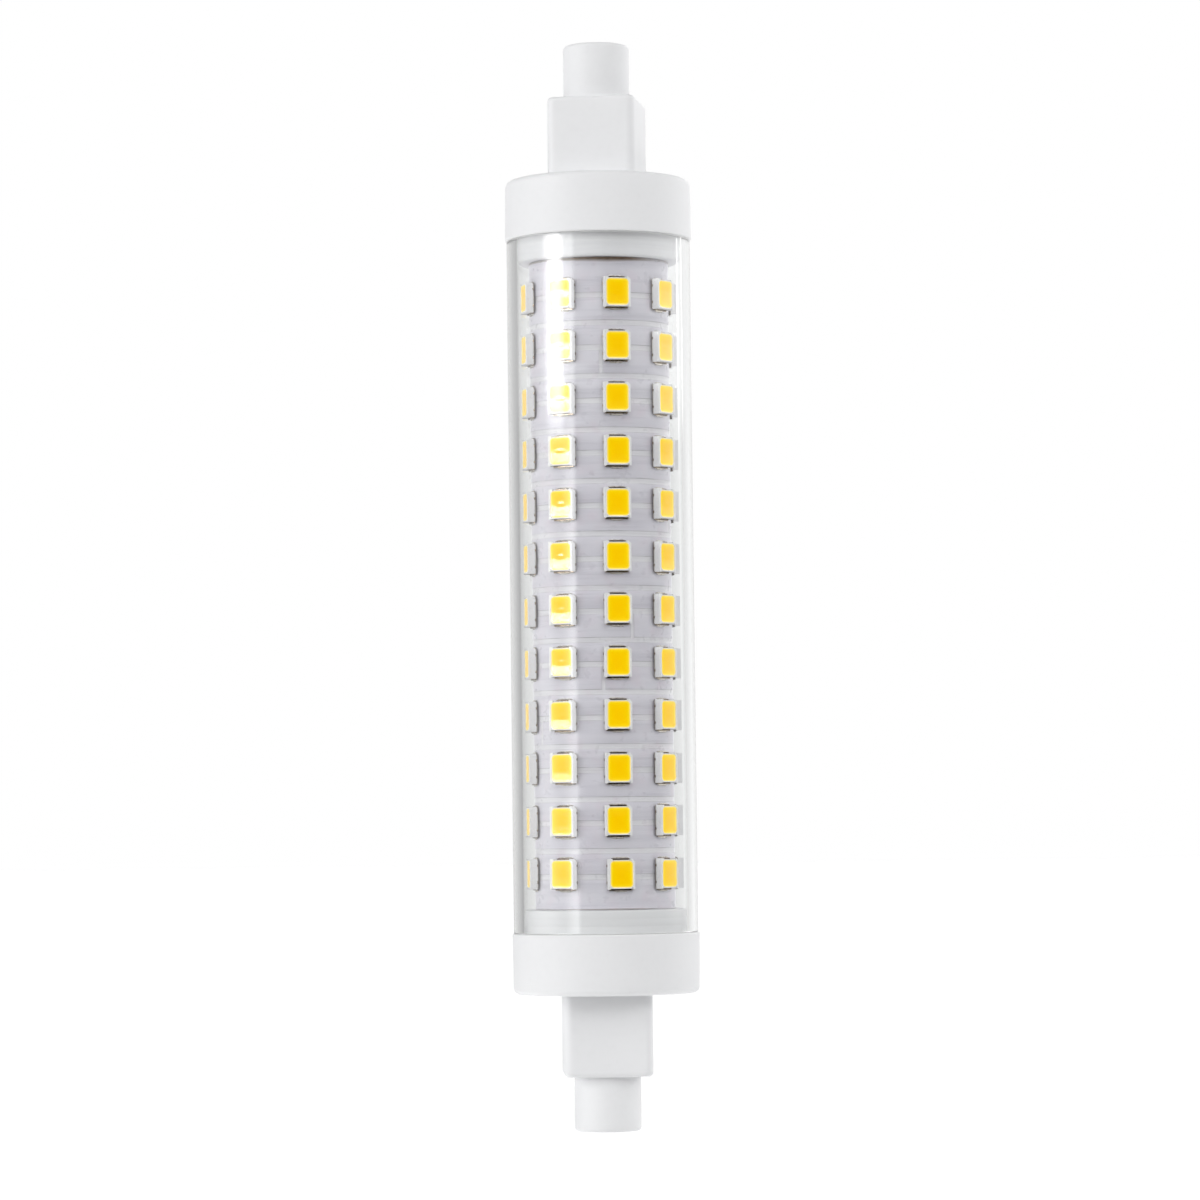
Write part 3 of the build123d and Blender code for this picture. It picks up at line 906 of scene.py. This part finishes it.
def phosphor_material():
    m, nt, bsdf, out = material("led_phosphor")
    vec = coords(nt)
    grain = noise(nt, vec, 5200.0, 2.0)
    fill = ramp(nt, attribute(nt, "rim"), [(0.0, (0.970, 0.585, 0.0)), (0.45, (0.975, 0.615, 0.0)), (0.76, (0.980, 0.665, 0.003)), (0.90, (0.980, 0.725, 0.080)), (1.0, (0.965, 0.800, 0.360))])
    tone = ramp(nt, grain, [(0.30, (0.97, 0.965, 0.97)), (0.70, (1.0, 1.0, 1.0))])
    col = mix(nt, 1.0, fill, tone, "MULTIPLY")
    nt.links.new(col, bsdf.inputs["Base Color"])
    # painted glow: a fixed yellow emission stands in for the phosphor giving back part of the light that falls on it
    # as yellow
    nt.links.new(col, bsdf.inputs["Emission Color"])
    bsdf.inputs["Emission Strength"].default_value = 0.345
    nt.links.new(remap(nt, grain, 0.3, 0.7, 0.060, 0.095), bsdf.inputs["Roughness"])
    bsdf.inputs["IOR"].default_value = 1.82
    bump(nt, bsdf, noise(nt, vec, 2600.0, 2.0), 0.0000008)
    return m


MATS = {
    "clear_glass": glass_material(),
    "white_ceramic": ceramic_material(),
    "board_mask": board_material(),
    "led_phosphor": phosphor_material(),
    "led_white": housing_material(),
    "tinned_metal": grained("tinned_metal", (0.24, 0.19, 0.14), (0.42, 0.35, 0.275), 2600.0, (0.13, 0.24), 1.0, (6000.0, 0.0000025)),
    "solder": grained("solder", (0.42, 0.385, 0.345), (0.66, 0.635, 0.600), 2400.0, (0.20, 0.36), 1.0, (5200.0, 0.000004)),
    "plated_contact": grained("plated_contact", (0.66, 0.635, 0.585), (0.80, 0.78, 0.73), 900.0, (0.22, 0.36), 1.0, (5200.0, 0.000003)),
    "core_aluminium": grained("core_aluminium", (0.70, 0.70, 0.71), (0.82, 0.82, 0.83), 700.0, (0.28, 0.42), 1.0, (4000.0, 0.000003), (1, 1, 0.08)),
    "insulating_film": grained("insulating_film", (0.78, 0.76, 0.69), (0.87, 0.86, 0.80), 400.0, (0.22, 0.34), 0.0, (1800.0, 0.000004)),
    "driver_laminate": grained("driver_laminate", (0.09, 0.27, 0.13), (0.14, 0.37, 0.19), 900.0, (0.30, 0.42), 0.0, (3000.0, 0.000006)),
    "black_epoxy": grained("black_epoxy", (0.018, 0.018, 0.019), (0.042, 0.042, 0.043), 1500.0, (0.44, 0.62), 0.0, (6000.0, 0.000005)),
    "capacitor_jacket": grained("capacitor_jacket", (0.035, 0.045, 0.080), (0.060, 0.070, 0.115), 700.0, (0.24, 0.36), 0.0, (2400.0, 0.000004)),
    "film_capacitor_coat": grained("film_capacitor_coat", (0.44, 0.115, 0.045), (0.60, 0.185, 0.075), 600.0, (0.22, 0.34), 0.0, (1800.0, 0.000006)),
    "resistor_coat": grained("resistor_coat", (0.32, 0.46, 0.42), (0.42, 0.56, 0.52), 900.0, (0.34, 0.48), 0.0, (3000.0, 0.000006)),
    "ferrite": grained("ferrite", (0.045, 0.045, 0.046), (0.085, 0.083, 0.082), 1600.0, (0.40, 0.58), 0.0, (4800.0, 0.000006)),
    "copper": grained("copper", (0.58, 0.27, 0.13), (0.80, 0.45, 0.26), 900.0, (0.22, 0.36), 1.0, (3600.0, 0.000006)),
    "white_cement": grained("white_cement", (0.80, 0.80, 0.80), (0.88, 0.88, 0.87), 1600.0, (0.55, 0.70), 0.0, (5200.0, 0.000004)),
    "wire_jacket": grained("wire_jacket", (0.80, 0.79, 0.77), (0.88, 0.87, 0.855), 700.0, (0.42, 0.56), 0.0, (3600.0, 0.000005)),
}


def dress(ob, slot):
    ob.data.materials.clear()
    ob.data.materials.append(MATS[slot])


def add_piece(ob, slot, *nodes):
    dress(ob, slot)
    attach(ob, "root")
    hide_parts(*nodes)
    return ob


# ---------------------------------------------------------------- pieces
add_piece(end_cap("upper_cap_ceramic", False, UPPER_TURN), "white_ceramic", "upper_end_cap")
add_piece(end_cap("lower_cap_ceramic", True, LOWER_TURN), "white_ceramic", "lower_end_cap")
tube = add_piece(clear_tube(), "clear_glass", "clear_tube")
# the end faces of the tube are set in cement, so they are white from the inside
tube.data.materials.append(MATS["white_cement"])
for face in tube.data.polygons:
    if abs(face.center.z) > (TUBE_HALF - 0.05) * MM:
        face.material_index = 1
add_piece(led_board(), "board_mask", "led_board")

housing = housing_shape()
add_piece(on_every_led("led_housing_set", lambda c, r: housing, 32, {"low": housing_foot_shade_mask}), "led_white", "led_housings")
phosphor = phosphor_shape()
add_piece(on_every_led("led_phosphor_set", lambda c, r: phosphor, 45, {"rim": phosphor_rim}), "led_phosphor", "led_phosphors")
terminal = terminal_shape()
add_piece(on_every_led("led_terminal_set", lambda c, r: terminal, 40), "tinned_metal", "led_terminals")
add_piece(on_every_led("led_solder_set", solder_shape, 50), "solder", "led_solder")

# nodes whose shape is right keep it and get their finish
for sub in frame["record"]["subparts"]:
    ob = NODES[sub["node"]]
    for slot in ob.material_slots:
        slot.material = MATS[sub["material_slot"]]

# ---------------------------------------------------------------- floor
bm = bmesh.new()
bmesh.ops.create_circle(bm, cap_ends=True, radius=3.0, segments=96)
me = bpy.data.meshes.new("floor")
bm.to_mesh(me)
bm.free()
floor = bpy.data.objects.new("floor", me)
bpy.context.scene.collection.objects.link(floor)
floor.location = (0, 0, -LENGTH / 2 * MM)
fm, nt, bsdf, out = material("floor_white")
fn = noise(nt, coords(nt), 40.0, 3.0)
nt.links.new(ramp(nt, fn, [(0.3, (0.80, 0.80, 0.80)), (0.7, (0.82, 0.82, 0.82))]), bsdf.inputs["Base Color"])
bsdf.inputs["Roughness"].default_value = 0.85
bsdf.inputs["Emission Color"].default_value = (1.0, 1.0, 1.0, 1.0)
bsdf.inputs["Emission Strength"].default_value = 0.42
floor.data.materials.append(fm)
# the floor takes the lamp's shadow but the surroundings alone light the lamp
floor.visible_diffuse = False
floor.visible_glossy = False
floor.visible_transmission = False
floor.visible_shadow = False

# ---------------------------------------------------------------- light
# Soft surroundings in bands of elevation. Each band runs round the lamp: azimuth is 0 towards
# the camera and grows to the lamp's right, in degrees, and the levels are linear.
BANDS = (
    (-90, -60, 6.0, ((-180, 1.15), (180, 1.15))),
    (-60, -25, 5.0, ((-180, 1.60), (-135, 1.75), (-90, 1.50), (-45, 0.42), (0, 0.30), (45, 0.98), (90, 1.45), (135, 1.55), (180, 1.60))),
    (-25, -5, 2.0, ((-180, 0.42), (-150, 0.40), (-120, 0.68), (-90, 1.25), (-60, 1.05), (-30, 0.45), (0, 0.06), (30, 0.10), (60, 0.30), (90, 0.72), (120, 0.92), (150, 0.65), (180, 0.42))),
    (-5, 2.0, 0.8, ((-180, 1.03), (-168, 0.80), (-155, 0.67), (-140, 0.47), (-125, 0.37), (-105, 0.80), (-90, 1.15), (-79, 1.20), (-71, 1.05), (-63, 0.55), (-57, 0.32), (-51, 0.50), (-46, 1.25), (-40, 2.00), (-34.5, 2.10), (-32.7, 0.10), (-10, 0.02), (10, 0.0), (70, 0.02), (88, 0.15), (98, 0.45), (112, 0.50), (122, 0.56), (125.3, 0.58), (126.2, 0.85), (127.6, 0.85), (128.5, 0.65), (132, 0.73), (145, 0.84), (158, 1.07), (170, 0.84), (180, 1.03))),
    (2.0, 4.95, 0.55, ((-180, 1.03), (-168, 0.80), (-155, 0.67), (-140, 0.47), (-125, 0.37), (-105, 0.80), (-90, 1.15), (-79, 1.25), (-71, 1.10), (-63, 0.65), (-57, 0.42), (-51, 0.66), (-46, 1.60), (-40, 2.30), (-34.5, 2.45), (-32.7, 0.10), (-10, 0.02), (10, 0.0), (70, 0.02), (88, 0.15), (98, 0.46), (112, 0.54), (122, 0.64), (125.3, 0.62), (126.2, 1.10), (127.6, 1.10), (128.5, 0.70), (132, 0.73), (145, 0.84), (158, 1.07), (170, 0.84), (180, 1.03))),
    (4.95, 9.2, 1.0, ((-180, 0.99), (-168, 0.81), (-155, 0.64), (-140, 0.49), (-125, 0.60), (-105, 0.90), (-88, 1.10), (-81, 1.25), (-75, 2.6), (-70, 5.4), (-65, 9.8), (-51.5, 11.4), (-48, 3.7), (-46, 3.1), (-34, 2.9), (-32.2, 0.85), (-25, 0.75), (-10, 0.50), (10, 0.02), (30, 0.0), (50, 0.39), (70, 0.63), (90, 0.86), (122, 1.00), (125.3, 1.0), (126.2, 4.2), (127.6, 4.2), (128.5, 1.0), (145, 0.88), (158, 0.97), (170, 1.00), (180, 0.99))),
    (9.2, 13.5, 1.0, ((-180, 1.31), (-150, 0.74), (-120, 0.74), (-95, 1.20), (-84, 1.60), (-72, 2.0), (-54, 2.3), (-46, 2.2), (-43, 0.80), (-25, 0.70), (-10, 0.50), (5, 0.05), (40, 0.05), (55, 0.60), (75, 1.10), (90, 1.40), (120, 1.70), (150, 1.80), (180, 1.31))),
    (13.5, 30, 3.0, ((-180, 1.31), (-150, 0.74), (-120, 0.74), (-95, 1.20), (-84, 1.60), (-72, 2.6), (-54, 3.1), (-46, 3.0), (-43, 0.60), (-25, 0.70), (-10, 1.90), (0, 2.90), (15, 2.85), (40, 1.78), (60, 2.05), (90, 1.75), (120, 2.00), (150, 1.92), (180, 1.31))),
    (30, 60, 6.0, ((-180, 0.34), (-135, 0.10), (-90, 0.12), (-45, 0.55), (0, 2.00), (45, 1.05), (90, 0.40), (135, 0.97), (180, 0.34))),
    (60, 90, 0.0, ((-180, 0.12), (180, 0.12))),
)
scene = bpy.context.scene
world = bpy.data.worlds.new("studio")
scene.world = world
world.use_nodes = True
nt = world.node_tree
nt.nodes.clear()
w_out = nt.nodes.new("ShaderNodeOutputWorld")
tc = nt.nodes.new("ShaderNodeTexCoord")
sep = nt.nodes.new("ShaderNodeSeparateXYZ")
nt.links.new(tc.outputs["Generated"], sep.inputs["Vector"])


def wmath(op, a, b=None, clamp=False):
    n = nt.nodes.new("ShaderNodeMath")
    n.operation = op
    n.use_clamp = clamp
    for sock, v in zip(n.inputs, (a, b)):
        if v is None:
            continue
        if isinstance(v, (int, float)):
            sock.default_value = v
        else:
            nt.links.new(v, sock)
    return n.outputs["Value"]


def smooth(val, lo, hi):
    r = nt.nodes.new("ShaderNodeMapRange")
    r.interpolation_type = "SMOOTHSTEP"
    r.inputs["From Min"].default_value = lo
    r.inputs["From Max"].default_value = hi
    nt.links.new(val, r.inputs["Value"])
    return r.outputs["Result"]


neg_y = wmath("MULTIPLY", sep.outputs["Y"], -1.0)
az = wmath("MULTIPLY", wmath("ARCTAN2", sep.outputs["X"], neg_y), 180.0 / math.pi)
el = wmath("MULTIPLY", wmath("ARCSINE", sep.outputs["Z"]), 180.0 / math.pi)
turn = wmath("DIVIDE", wmath("ADD", az, 180.0), 360.0)
level = None
below = None
for lo, hi, soft, stops in BANDS:
    part = ramp(nt, turn, [((a + 180.0) / 360.0, (v, v, v)) for a, v in stops])
    if below is not None:
        part = wmath("MULTIPLY", part, below)
    if hi < 90:
        part_hi = smooth(el, hi - soft, hi + soft)
        part = wmath("MULTIPLY", part, wmath("SUBTRACT", 1.0, part_hi))
        below = part_hi
    level = part if level is None else wmath("ADD", level, part)
lit = nt.nodes.new("ShaderNodeBackground")
nt.links.new(level, lit.inputs["Strength"])
lit.inputs["Color"].default_value = (1.0, 1.0, 1.0, 1.0)
seen = nt.nodes.new("ShaderNodeBackground")
seen.inputs["Color"].default_value = (1.0, 1.0, 1.0, 1.0)
seen.inputs["Strength"].default_value = 1.0
path = nt.nodes.new("ShaderNodeLightPath")
pick = nt.nodes.new("ShaderNodeMixShader")
nt.links.new(path.outputs["Is Camera Ray"], pick.inputs["Fac"])
nt.links.new(lit.outputs["Background"], pick.inputs[1])
nt.links.new(seen.outputs["Background"], pick.inputs[2])
nt.links.new(pick.outputs["Shader"], w_out.inputs["Surface"])

scene.cycles.caustics_refractive = False
scene.cycles.caustics_reflective = False
scene.view_settings.view_transform = "Standard"

# ---------------------------------------------------------------- camera
PITCH, ROLL = 0.0470, -0.0116
cam = bpy.data.cameras.new("camera")
cam.lens = 140.0
cam.sensor_width = 36.0
cam.sensor_fit = "HORIZONTAL"
cam.clip_start = 0.01
cam.clip_end = 50.0
cam_ob = bpy.data.objects.new("camera", cam)
scene.collection.objects.link(cam_ob)
fwd = Vector((0, math.cos(PITCH), math.sin(PITCH)))
r0 = Vector((1, 0, 0))
u0 = Vector((0, -math.sin(PITCH), math.cos(PITCH)))
right = math.cos(ROLL) * r0 + math.sin(ROLL) * u0
up = -math.sin(ROLL) * r0 + math.cos(ROLL) * u0
pose = Matrix((right, up, -fwd)).transposed().to_4x4()
pose.translation = Vector((-0.24, -506.85, -25.37)) * MM
cam_ob.matrix_world = pose
scene.camera = cam_ob

# ---------------------------------------------------------------- done
bpy.context.view_layer.update()
